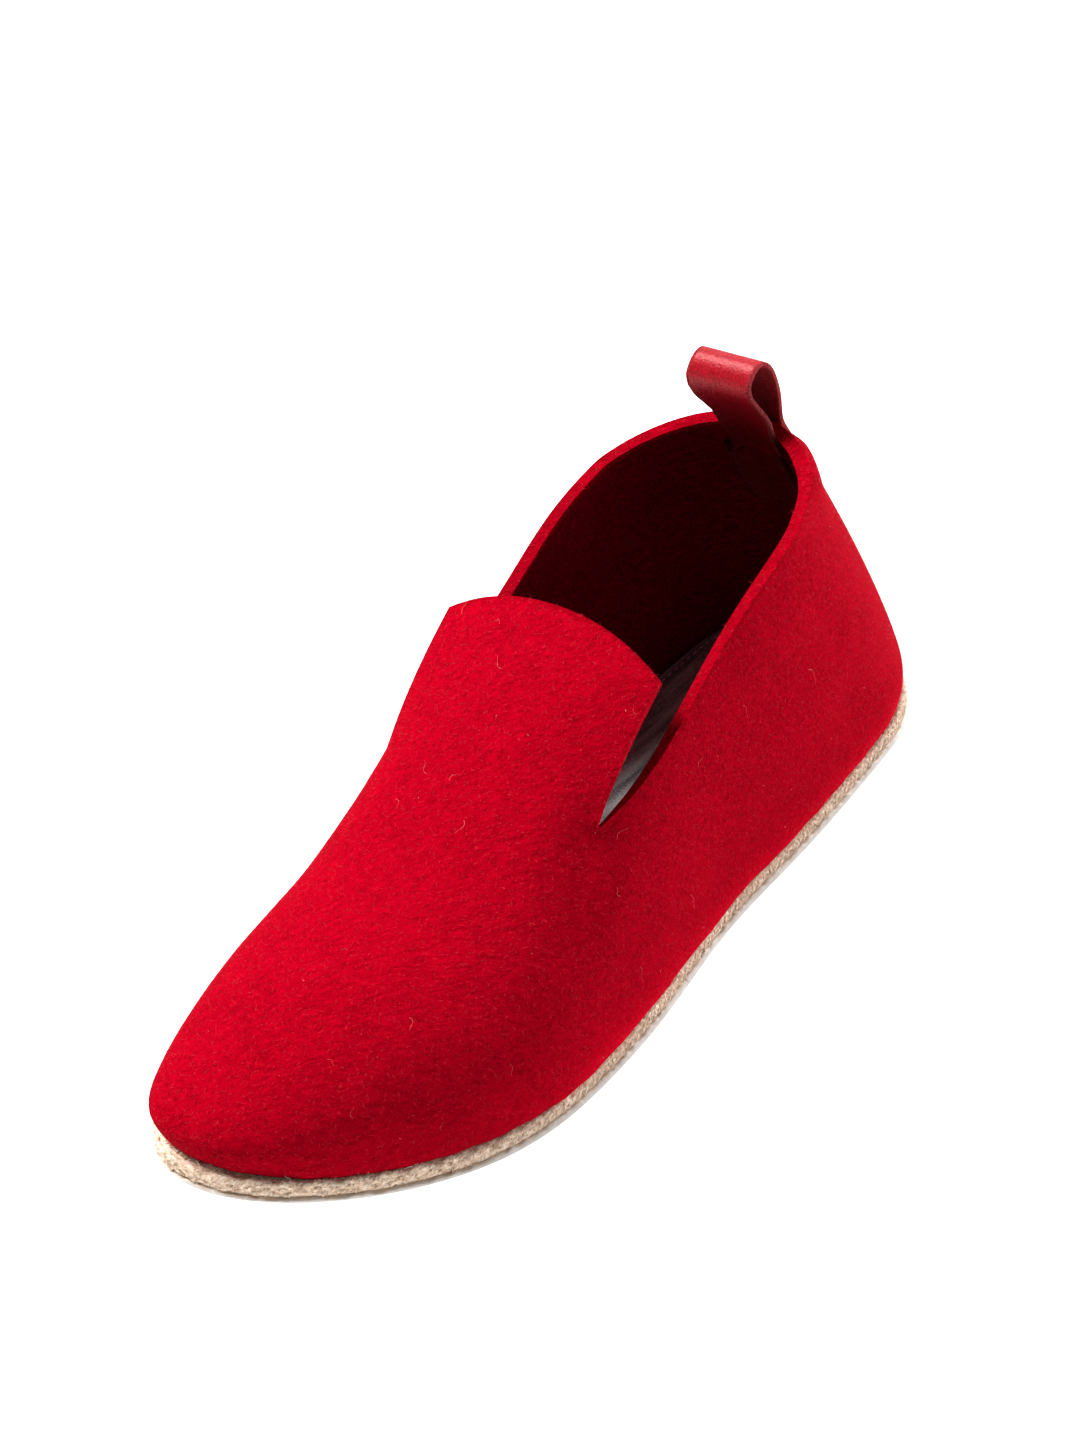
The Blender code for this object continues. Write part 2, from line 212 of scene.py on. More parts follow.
def new_material(name):
    """An empty material with its tree and its Principled shader, wired to the output."""
    material = bpy.data.materials.new(name)
    material.use_nodes = True
    tree = material.node_tree
    return material, tree, tree.nodes["Principled BSDF"]


def finish_shader(tree, shader, colour, height, strength, depth, **inputs):
    """Links a colour and a bump to a shader and sets its other inputs, with _ in place of each space."""
    tree.links.new(colour, shader.inputs["Base Color"])
    bump = add(tree, "ShaderNodeBump", {"Height": height, "Strength": strength, "Distance": depth})
    tree.links.new(bump.outputs["Normal"], shader.inputs["Normal"])
    set_inputs(shader, **inputs)


def set_inputs(shader, **inputs):
    """Sets a node's inputs to plain values."""
    for name, value in inputs.items():
        shader.inputs[name.replace("_", " ")].default_value = value


def ramp(tree, value, *stops):
    """Colours along a value from 0 to 1."""
    made = add(tree, "ShaderNodeValToRGB", [value])
    while len(made.color_ramp.elements) < len(stops):
        made.color_ramp.elements.new(0.5)
    for element, (place, colour) in zip(made.color_ramp.elements, stops):
        element.position = place
        element.color = linear(colour)
    return made


def scene_object(name, data):
    """A new object, linked to the scene."""
    made = bpy.data.objects.new(name, data)
    bpy.context.scene.collection.objects.link(made)
    return made


def to_mesh(shape, name, *materials, smooth=True):
    """Turns a bmesh into a mesh with its materials and frees it."""
    for face in shape.faces:
        face.smooth = smooth
    mesh = bpy.data.meshes.new(name)
    shape.to_mesh(mesh)
    shape.free()
    for material in materials:
        mesh.materials.append(material)
    return mesh


# %% [markdown]
# ## The camera
# The photograph looks down on the slipper from in front of its outer side, with a long lens and a slight
# roll. A camera is a place on a sphere round a target, so it is written as azimuth, elevation, roll and
# distance.

# %% The camera at the photograph's angle
AZIMUTH, ELEVATION, ROLL = (math.radians(degrees) for degrees in (46.68, 36.74, -12.07))
DISTANCE = 0.8098
FOCAL_PIXELS = 3000
PICTURE_HEIGHT = 1440
RAISED_PIXELS = 79.0
TARGET = Vector((-SOLE_MIDDLE, 0, 0.040))


def camera_axes():
    """The camera's right, up and back directions."""
    back = Vector((math.sin(AZIMUTH), -math.cos(AZIMUTH), math.tan(ELEVATION))).normalized()
    level = Vector((math.cos(AZIMUTH), math.sin(AZIMUTH), 0))
    up = back.cross(level)
    right = math.cos(ROLL) * level + math.sin(ROLL) * up
    return right, math.cos(ROLL) * up - math.sin(ROLL) * level, back


RIGHT, UP, BACK = camera_axes()
lens = bpy.data.cameras.new("camera")
lens.sensor_width = 36
lens.lens = FOCAL_PIXELS * lens.sensor_width / PICTURE_HEIGHT
lens.clip_start = 0.05
camera = scene_object("camera", lens)
camera.matrix_world = Matrix((RIGHT, UP, BACK)).transposed().to_4x4()
camera.location = TARGET + BACK * DISTANCE + UP * (RAISED_PIXELS * DISTANCE / FOCAL_PIXELS)
bpy.context.scene.camera = camera
print("camera", tuple(round(c, 3) for c in camera.location), "lens", lens.lens)

# %% [markdown]
# ## Wool felt
# Felt has no threads. Matted fibres lie in every direction, so its surface is a fine grain with clouds of
# denser and looser wool, drawn out a little the way the batt was rolled. It has no gloss, and its fuzz
# catches light at grazing angles, which is what sheen gives. The clouds and the grain are noises at sizes
# measured in millimetres, and they show a little less on top, where handling has smoothed the wool. At its
# foot the felt is painted paler, as painted light bounced up from the floor, and a point attribute called
# foot says where.

# %% Felt materials
GRAIN = 0.6 * MM
STREAK = 1.3 * MM
CLOUD = 11 * MM
BATT_TURN = math.radians(47)
BATT_DRAW = 3.0
CLOUD_SHARE, STREAK_SHARE, GRAIN_SHARE = 0.08, 0.34, 0.42
MEAN_SHADE = 0.42
SIDE_CONTRAST, TOP_CONTRAST = 1.25, 1.12
# How much paler the painted bounce light makes the felt's foot.
FOOT_BOUNCE_LIGHT = 0.65


def felt(name, dark, middle, bright, sheen, bump_strength):
    """Dyed wool felt: streaks and a grain of colour, the same in relief, and a soft sheen of fuzz."""
    material, tree, shader = new_material(name)
    place = add(tree, "ShaderNodeTexCoord").outputs["Object"]
    drawn = {"Vector": place, "Rotation": (0, 0, BATT_TURN), "Scale": (BATT_DRAW, 1, 1)}
    batt = add(tree, "ShaderNodeMapping", drawn, vector_type="TEXTURE")
    clouds = cloud(tree, place, CLOUD, Detail=2)
    streaks = cloud(tree, batt, STREAK, Detail=3, Roughness=0.6, Distortion=0.6)
    grain = cloud(tree, place, GRAIN, Detail=3, Roughness=0.65)
    shade = maths(tree, "MULTIPLY", clouds, CLOUD_SHARE)
    shade = maths(tree, "MULTIPLY_ADD", streaks, STREAK_SHARE, shade)
    shade = maths(tree, "MULTIPLY_ADD", grain, GRAIN_SHARE, shade)
    facing = add(tree, "ShaderNodeSeparateXYZ", [add(tree, "ShaderNodeNewGeometry").outputs["Normal"]])
    contrast = add(tree, "ShaderNodeMapRange", [facing.outputs["Z"], 0.1, 0.9, SIDE_CONTRAST, TOP_CONTRAST])
    apart = maths(tree, "SUBTRACT", shade, MEAN_SHADE)
    shade = maths(tree, "MULTIPLY_ADD", apart, contrast, MEAN_SHADE)
    colour = ramp(tree, shade, (0.30, dark), (0.42, middle), (0.54, bright))
    # Painted light: the felt is painted paler towards its foot, in place of light bounced up from the floor.
    foot = add(tree, "ShaderNodeAttribute", attribute_name="foot")
    painted_bounce_light = maths(tree, "MULTIPLY_ADD", foot.outputs["Fac"], FOOT_BOUNCE_LIGHT, 1.0)
    colour = scaled(tree, colour, painted_bounce_light)
    relief = maths(tree, "MULTIPLY_ADD", streaks, 1.1, grain)
    matt = dict(Roughness=1.0, Specular_IOR_Level=0.008)
    fuzzy = dict(Sheen_Weight=sheen, Sheen_Roughness=0.35, Sheen_Tint=linear("#ff3826"))
    finish_shader(tree, shader, colour.outputs[0], relief, bump_strength, 0.45 * MM, **matt, **fuzzy)
    return material


felt_face = felt("dyed wool felt", "#7a000d", "#960015", "#ab0019", sheen=0.03, bump_strength=0.8)
felt_cut = felt("cut edge of felt", "#72000b", "#8e0012", "#a50018", sheen=0.10, bump_strength=1.0)
# The inner face is the same dyed felt painted darker: painted shade for the inside of the shoe.
felt_inside_shaded = felt("inner face of felt", "#4a000c", "#680014", "#7c001a", sheen=0.02, bump_strength=0.5)
print("felt", [material.name for material in (felt_face, felt_cut, felt_inside_shaded)])

# %% [markdown]
# ## From CAD solid to soft piece
# The CAD upper is a faceted solid with knife-sharp rims. A soft copy is made in four steps: its loose
# triangles are welded, pairs of them become quads again, the rims are bevelled, and a Subdivision Surface
# rounds the rest. The welded faces fall into regions parted by the rims, which tells outside, inside and
# cut edge apart.

# %% Soften a CAD node
WELD = 0.01 * MM
RIM_ANGLE = math.radians(48)
PAIR_BEND, PAIR_SKEW = math.radians(35), math.radians(70)


def region_of(start, parted):
    """The faces that can be reached from one face without crossing a rim."""
    found = {start}
    waiting = [start]
    while waiting:
        face = waiting.pop()
        for edge in face.edges:
            if edge in parted:
                continue
            for other in edge.link_faces:
                if other not in found:
                    found.add(other)
                    waiting.append(other)
    return found


def soften(name, materials, rim_width, levels):
    """A smooth copy of a CAD node. Its materials are for the largest face, the next largest and the rims."""
    shape = bmesh.new()
    shape.from_mesh(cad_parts[name].data)
    bmesh.ops.remove_doubles(shape, verts=shape.verts, dist=WELD)
    bends = dict(angle_face_threshold=PAIR_BEND, angle_shape_threshold=PAIR_SKEW)
    bmesh.ops.join_triangles(shape, faces=shape.faces, **bends)
    rims = {edge for edge in shape.edges if edge.calc_face_angle(0) > RIM_ANGLE}
    left = set(shape.faces)
    regions = []
    while left:
        region = region_of(next(iter(left)), rims)
        left -= region
        regions.append(region)
    regions.sort(key=lambda region: -sum(face.calc_area() for face in region))
    for number, region in enumerate(regions):
        for face in region:
            face.material_index = min(number, 2)
    rounded_rims = dict(offset=rim_width, offset_type="OFFSET", segments=2, profile=0.5, material=2)
    bmesh.ops.bevel(shape, geom=list(rims), affect="EDGES", clamp_overlap=True, **rounded_rims)
    piece = scene_object(name + "_soft", to_mesh(shape, name + "_cage", *materials))
    rounding = piece.modifiers.new("rounding", "SUBSURF")
    rounding.levels = rounding.render_levels = levels
    piece.data = evaluated_mesh(piece)
    piece.modifiers.clear()
    return piece


def evaluated_mesh(source):
    """A plain mesh of what an object's modifiers make."""
    return bpy.data.meshes.new_from_object(source.evaluated_get(bpy.context.evaluated_depsgraph_get()))


def triangles(piece):
    piece.data.calc_loop_triangles()
    return len(piece.data.loop_triangles)


felt_upper = soften("upper", (felt_face, felt_inside_shaded, felt_cut), rim_width=1.3 * MM, levels=2)
felt_upper.name = "felt_upper"
print("felt upper", triangles(felt_upper), "triangles")

# %% [markdown]
# ## Relief of the felt
# Worn felt is never quite even. Both faces of the wall move together by a low lumpiness, and a few soft
# troughs and ridges are placed where a foot bends and fills this slipper. Each is a line with a
# width and a depth. The collar flares beside the heel. At its foot the felt spreads over the sole in a wavy
# lip, further at the toe's outer side than elsewhere. The rims follow the faces beside them.

# %% Creases, lumps and the lip at the foot
Crease = namedtuple("Crease", "start end width depth")
CREASES = (
    Crease((0.0372, -0.0216, 0.0615), (0.0436, -0.0470, 0.0440), 6.0, 0.9),
    Crease((0.0300, -0.0340, 0.0660), (0.0350, -0.0620, 0.0490), 7.0, -0.6),
    Crease((0.0450, -0.0150, 0.0420), (0.0490, -0.0400, 0.0260), 6.0, 0.6),
    Crease((0.0191, -0.0487, 0.0588), (0.0400, -0.0700, 0.0400), 8.0, 0.5),
    Crease((0.0060, -0.0950, 0.0470), (0.0340, -0.1000, 0.0300), 8.0, 0.5),
    Crease((-0.0036, -0.1162, 0.0423), (-0.0240, -0.1080, 0.0380), 7.0, 0.4),
    Crease((0.0407, 0.0427, 0.0604), (0.0383, 0.0788, 0.0560), 9.0, 0.5),
    Crease((0.0420, 0.0300, 0.0380), (0.0400, 0.0700, 0.0400), 9.0, -0.4),
)
FLARE = Crease((0.0150, 0.1045, 0.0975), (0.0240, 0.0960, 0.0955), 8.5, -2.0)
LUMP_SIZE, LUMP_HEIGHT = 13 * MM, 0.22 * MM
FELT_FOOT = 7.4 * MM
LIP_HEIGHT, LIP_WAVES = 5.0 * MM, 0.3 * MM
LIP_PLACES = (-0.14, -0.12, -0.105, -0.08, -0.05, -0.02, 0.14)
OUTER_LIP = np.array([0.3, 1.0, 1.2, 0.5, 0.1, -0.6, -0.6]) * MM
INNER_LIP = np.array([-0.4, -0.7, -0.7, -0.2, 0, 0, 0]) * MM
HEM_HEIGHT, HEM_DOWN = 2.0 * MM, 0.5 * MM
# Height and stretch along the sole of the painted bounce light at the felt's foot.
BOUNCE_LIGHT_HEIGHT = 7.0 * MM
BOUNCE_LIGHT_FROM, BOUNCE_LIGHT_TO = -0.085, -0.045
EVEN_FROM, EVEN_TO = 0.077, 0.092
INNER_SIDE, OUTER_SIDE = -0.005, 0.015
LIP_WAVE_SIZE, HEM_WAVE_SIZE = 15 * MM, 6 * MM
RIM_ROUNDS = 12
INNER_FACE, CUT_EDGE = 1, 2


def to_line(points, start, end):
    """Distances of points from a straight piece of line."""
    start, along = np.array(start), np.array(end) - np.array(start)
    share = np.clip((points - start) @ along / (along @ along), 0, 1)
    return np.linalg.norm(points - start - share[:, None] * along, axis=1)


def near_line(points, crease):
    """A crease's depth at points: full on its line, fading away. Its width and depth are in millimetres."""
    away = to_line(points, crease.start, crease.end) / (crease.width * MM)
    return crease.depth * MM * np.exp(-(away**2))


def noise_at(points, size, seed):
    """Smooth noise from -1 to 1 at every point, its cells of the given size."""
    shift = Vector((0, 0, seed))
    return np.array([noise.noise(Vector(point) / size + shift) for point in points])


def relieve(piece):
    """Moves the felt's faces out and in by lumps, creases and the lip, and lets its rims follow."""
    mesh = piece.data
    points, normals = np.empty((2, len(mesh.vertices), 3))
    mesh.vertices.foreach_get("co", points.ravel())
    mesh.vertices.foreach_get("normal", normals.ravel())
    sign = np.ones(len(points))
    rim = np.zeros(len(points), bool)
    for face in mesh.polygons:
        if face.material_index == INNER_FACE:
            sign[list(face.vertices)] = -1
        elif face.material_index == CUT_EDGE:
            rim[list(face.vertices)] = True
    above = points[:, 2] - rise(points[:, 1]) - FELT_FOOT
    move = LUMP_HEIGHT * noise_at(points, LUMP_SIZE, 0)
    for crease in CREASES:
        move -= near_line(points, crease)
    move *= np.clip((EVEN_TO - points[:, 1]) / (EVEN_TO - EVEN_FROM), 0, 1)
    waves = noise_at(points, LIP_WAVE_SIZE, 4)
    outer_side = np.clip((points[:, 0] - INNER_SIDE) / (OUTER_SIDE - INNER_SIDE), 0, 1)
    lip = outer_side * np.interp(points[:, 1], LIP_PLACES, OUTER_LIP)
    lip += (1 - outer_side) * np.interp(points[:, 1], LIP_PLACES, INNER_LIP)
    move += np.exp(-((above / LIP_HEIGHT) ** 2)) * (lip + LIP_WAVES * waves)
    move -= near_line(points, FLARE)
    moved = (sign * move)[:, None] * normals
    edges = np.array([edge.vertices[:] for edge in mesh.edges])
    moved[rim] = 0
    for _ in range(RIM_ROUNDS):
        total, count = np.zeros_like(moved), np.zeros(len(points))
        for a, b in ((0, 1), (1, 0)):
            np.add.at(total, edges[:, a], moved[edges[:, b]])
            np.add.at(count, edges[:, a], 1)
        moved[rim] = (total / count[:, None])[rim]
    hem = np.exp(-((np.clip(above, 0, None) / HEM_HEIGHT) ** 2))
    moved[:, 2] -= HEM_DOWN * hem * np.clip(0.7 + 1.2 * noise_at(points, HEM_WAVE_SIZE, 9), 0, 1.4)
    mesh.vertices.foreach_set("co", (points + moved).ravel())
    # Where the felt is painted paler as bounce light from the floor: low on the wall, from mid-foot back.
    foot = np.exp(-((np.clip(above, 0, None) / BOUNCE_LIGHT_HEIGHT) ** 2))
    foot *= np.clip((points[:, 1] - BOUNCE_LIGHT_FROM) / (BOUNCE_LIGHT_TO - BOUNCE_LIGHT_FROM), 0, 1)
    mesh.attributes.new("foot", "FLOAT", "POINT").data.foreach_set("value", foot.astype(np.float32))
    mesh.update()
    print("felt moved by up to", round(np.linalg.norm(moved, axis=1).max() / MM, 2), "mm")


relieve(felt_upper)

# %% Place the felt upper
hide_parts("upper")
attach(felt_upper, "root")

# %% [markdown]
# ## The insole and the loop
# The footbed is suede-like and grey. The loop is a strap of leather: smooth and slightly glossy on its
# grain side, rough and fibrous on its flesh side and at its cut edges.

# %% Suede and leather
# The footbed's painted shade towards the toe and painted light towards the heel.
SUEDE_SHADE_FROM, SUEDE_SHADE_TO = -0.02, 0.03
PAINTED_TOE_SHADE, PAINTED_HEEL_LIGHT = 0.75, 1.8
# The strap's painted shade: full at the lowest height, gone at the highest, the back ply kept bright.
STRAP_SHADE_FULL, STRAP_CLEAR = 0.1, 0.119
STRAP_INNER, STRAP_OUTER = 0.1045, 0.1075
STRAP_END_BELOW, STRAP_END = 0.088, 0.090
PAINTED_STRAP_SHADE = 0.45
WRINKLE = 1.2 * MM


def suede():
    """Brushed grey suede: a short nap in lengthwise streaks, with painted shade towards the toe and painted
    light towards the heel.
    """
    material, tree, shader = new_material("brushed grey suede")
    place = add(tree, "ShaderNodeTexCoord").outputs["Object"]
    brushed = add(tree, "ShaderNodeMapping", {"Vector": place, "Scale": (1, 0.12, 1)})
    patches = cloud(tree, brushed, 3.5 * MM, Detail=3)
    nap = cloud(tree, place, 0.7 * MM, Detail=3)
    mixed = maths(tree, "MULTIPLY_ADD", nap, 0.6, patches)
    colour = ramp(tree, mixed, (0.62, "#4c484a"), (0.98, "#96908f"))
    # Painted shade and light: the suede is painted darker towards the toe, deep in the shoe, and lighter
    # towards the heel.
    y = add(tree, "ShaderNodeSeparateXYZ", [place]).outputs["Y"]
    painted_toe_shade = add(tree, "ShaderNodeMapRange", [y, SUEDE_SHADE_FROM, SUEDE_SHADE_TO, PAINTED_TOE_SHADE, PAINTED_HEEL_LIGHT])
    colour = scaled(tree, colour, painted_toe_shade).outputs[0]
    finish_shader(tree, shader, colour, mixed, 0.5, 0.3 * MM, Roughness=0.7, Sheen_Weight=0.35)
    return material


def leather(name, dark, bright, roughness, pebble, depth):
    """Dyed leather: grain with fine wrinkles on the face, loose fibres on the flesh side and the cut edge.

    The strap's front has painted shade, darker towards where it goes down into the shoe. Its back ply is left
    bright."""
    material, tree, shader = new_material(name)
    place = add(tree, "ShaderNodeTexCoord").outputs["Object"]
    cells = add(tree, "ShaderNodeTexVoronoi", {"Vector": place, "Scale": 1 / pebble}, feature="SMOOTH_F1")
    fibres = cloud(tree, place, pebble / 0.8, Detail=5)
    colour = ramp(tree, fibres, (0.35, dark), (0.7, bright))
    _, y, z = add(tree, "ShaderNodeSeparateXYZ", [place]).outputs
    # Painted shade: the front ply is painted darker towards the bottom, where it goes down into the shoe.
    painted_strap_shade = add(tree, "ShaderNodeMapRange", [z, STRAP_SHADE_FULL, STRAP_CLEAR, PAINTED_STRAP_SHADE, 1.0])
    behind = add(tree, "ShaderNodeMapRange", [y, STRAP_INNER, STRAP_OUTER])
    above_end = add(tree, "ShaderNodeMapRange", [z, STRAP_END_BELOW, STRAP_END])
    back_ply = maths(tree, "MULTIPLY", behind, above_end)
    colour = scaled(tree, colour, maths(tree, "MAXIMUM", painted_strap_shade, back_ply)).outputs[0]
    drawn = add(tree, "ShaderNodeMapping", {"Vector": place, "Scale": (1, 0.35, 0.35)})
    wrinkles = cloud(tree, drawn, WRINKLE, Detail=3)
    relief = maths(tree, "MULTIPLY_ADD", fibres, 0.7, cells.outputs["Distance"])
    relief = maths(tree, "MULTIPLY_ADD", wrinkles, 1.5, relief)
    gloss = dict(Roughness=roughness, Specular_IOR_Level=0.3, Specular_Tint=(1, 0.5, 0.5, 1))
    finish_shader(tree, shader, colour, relief, 0.5, depth, **gloss)
    return material


grey_suede = suede()
leather_grain = leather("smooth red leather", "#7c0010", "#a60619", 0.40, 0.55 * MM, 0.16 * MM)
leather_flesh = leather("flesh side of leather", "#56000a", "#a81c26", 0.95, 0.35 * MM, 0.4 * MM)
leather_cut = leather("cut edge of leather", "#3a0006", "#b82830", 0.85, 0.30 * MM, 0.4 * MM)
print("suede and leather made")

# %% The loop leans
RIM_MIDDLE = 0.1064
BELOW_RIM = 0.094
BEHIND_HEEL = 0.16
LOOP_HEIGHTS = (0.100, 0.103, 0.106, 0.109, 0.112, 0.115, 0.118, 0.1208)
LOOP_SIDEWAYS = np.array([3.2, 3.0, 2.1, 0.6, -0.7, -1.1, -0.6, 0]) * MM
LOOP_BULGE = np.array([0, 0, -0.2, -0.5, -0.7, -0.6, -0.2, 0]) * MM


def lean(piece):
    """Lets the front of the loop sag to one side and tuck back in at the rim, kept against the round heel."""
    heel = BVHTree.FromObject(felt_upper, bpy.context.evaluated_depsgraph_get())

    def wall(x, z):
        """How far back the heel reaches at a height."""
        return heel.ray_cast(Vector((x, BEHIND_HEEL, z)), Vector((0, -1, 0)))[0].y

    for vertex in piece.data.vertices:
        x, y, z = vertex.co
        if y > RIM_MIDDLE:
            continue
        shift = np.interp(z, LOOP_HEIGHTS, LOOP_SIDEWAYS)
        low = min(z, BELOW_RIM)
        near_wall = np.interp(z, LOOP_HEIGHTS[:4], (1, 1, 0.6, 0))
        follow = near_wall * (wall(x + shift, low) - wall(x, low))
        vertex.co.x += shift
        vertex.co.y += np.interp(z, LOOP_HEIGHTS, LOOP_BULGE) + follow
    piece.data.update()


# %% Insole and loop pieces
footbed = soften("insole", (grey_suede, grey_suede, grey_suede), rim_width=0.5 * MM, levels=1)
footbed.name = "footbed"
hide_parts("insole")
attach(footbed, "root")

strap = soften("pull_loop", (leather_grain, leather_flesh, leather_cut), rim_width=0.25 * MM, levels=2)
strap.name = "strap"
lean(strap)
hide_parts("pull_loop")
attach(strap, "root")
print("footbed", triangles(footbed), "strap", triangles(strap))

# %% [markdown]
# ## The jute braid
# The midsole is a cord braided from three strands of jute and wound round the sole. One Geometry Nodes tree
# makes it: the sole's edge is one curve, copied once for each yarn, and every copy is moved off it by two
# sums. The first is the braid, where a strand weaves up and down once a pitch and in and out twice. The
# second is the twist of the yarns round their strand. Towards the toe the braid is drawn out into strands
# that lie along it.

# %% Jute material
FIBRE = 0.32 * MM


def jute_material(name, drawn):
    """Jute: bast fibres from straw to brown, plus painted highlights and painted shade in the gaps. drawn is
    the fibres' length.
    """
    material, tree, shader = new_material(name)
    along = add(tree, "ShaderNodeAttribute", attribute_name="along")
    around = add(tree, "ShaderNodeAttribute", attribute_name="around")
    place = add(tree, "ShaderNodeTexCoord").outputs["Object"]
    run = maths(tree, "MULTIPLY", along.outputs["Fac"], 1 / drawn)
    turn = maths(tree, "MULTIPLY", around.outputs["Fac"], 1 / FIBRE)
    fibre_place = add(tree, "ShaderNodeCombineXYZ", [run, turn])
    fibres = cloud(tree, fibre_place, 1.0, Detail=3, Roughness=0.7)
    patches = cloud(tree, place, 1.1 * MM, Detail=3)
    mixed = maths(tree, "MULTIPLY_ADD", patches, 0.5, fibres)
    # Straw to brown is the jute's own colour; the near-white end is painted highlight, the dark brown end
    # painted shade in gaps.
    colour = ramp(tree, mixed, (0.50, "#5a3e28"), (0.62, "#c09878"), (0.76, "#efd4ba"), (0.92, "#fff6ea"))
    colour = colour.outputs["Color"]
    finish_shader(tree, shader, colour, mixed, 0.8, 0.25 * MM, Roughness=0.75, Specular_IOR_Level=0.3)
    return material


jute_yarn = jute_material("jute yarn", 4 * MM)
core_jute = jute_material("jute core", 1.6 * MM)

# %% The braid's own sizes
# A winding's sizes are in millimetres.
STRANDS = 3
Winding = namedtuple("Winding", "name inset height pitch twist up out strand_radius yarns yarn_radius")
WINDINGS = (
    Winding("outer_braid", 1.5, 4.6, 8.4, 4.0, 1.35, 0.3, 0.9, 7, 0.29),
    Winding("inner_braid", 4.1, 5.3, 9.2, 5.0, 1.0, 0.4, 0.75, 5, 0.36),
)
PRESSED_FLAT = 0.8
LAYER_GAP = 1.25 * MM
WEAVE_LEFT = 0.3
LOOSE, LOOSE_SIZE = 0.9 * MM, 3 * MM
CURVE_STEP = 0.9 * MM
YARN_SHIFT = 0.37
TOE_START, TOE_END = -0.055, -0.115


def closed_curve(name, points):
    """A curve object that runs straight from point to point and back to the first."""
    line = bpy.data.curves.new(name, "CURVE")
    line.dimensions = "3D"
    spline = line.splines.new("POLY")
    spline.points.add(len(points) - 1)
    for point, place in zip(spline.points, points):
        point.co = (*place, 1)
    spline.use_cyclic_u = True
    return scene_object(name, line)


def edge_curve(name, inset, height, count=400):
    """A closed curve along the sole's edge, an inset inside it and a height up it, with its length."""
    loop = edge_loop(inset, count)
    return closed_curve(name, [(x, y, height + rise(y)) for x, y in loop]), round_length(loop)


def nodes_modifier(piece, tree, **inputs):
    """Puts a Geometry Nodes tree on a piece and sets its inputs by their sockets' identifiers."""
    modifier = piece.modifiers.new(tree.name, "NODES")
    modifier.node_group = tree
    for socket in tree.interface.items_tree:
        if socket.in_out == "INPUT" and socket.name in inputs:
            modifier[socket.identifier] = inputs[socket.name]


def new_geometry_tree(name, **inputs):
    """A Geometry Nodes tree with named inputs: a number, an object or a material for each."""
    tree = bpy.data.node_groups.new(name, "GeometryNodeTree")
    tree.interface.new_socket("Geometry", in_out="INPUT", socket_type="NodeSocketGeometry")
    for label, kind in inputs.items():
        tree.interface.new_socket(label, in_out="INPUT", socket_type="NodeSocket" + kind)
    tree.interface.new_socket("Geometry", in_out="OUTPUT", socket_type="NodeSocketGeometry")
    return tree, add(tree, "NodeGroupInput")


def end_tree(tree, geometry, material):
    """Ends a tree: its instances are made real and take the material."""
    real = add(tree, "GeometryNodeRealizeInstances", [geometry])
    dressed = add(tree, "GeometryNodeSetMaterial", {"Geometry": real, "Material": material})
    add(tree, "NodeGroupOutput", [dressed])
    return tree


# %% The braid's tree


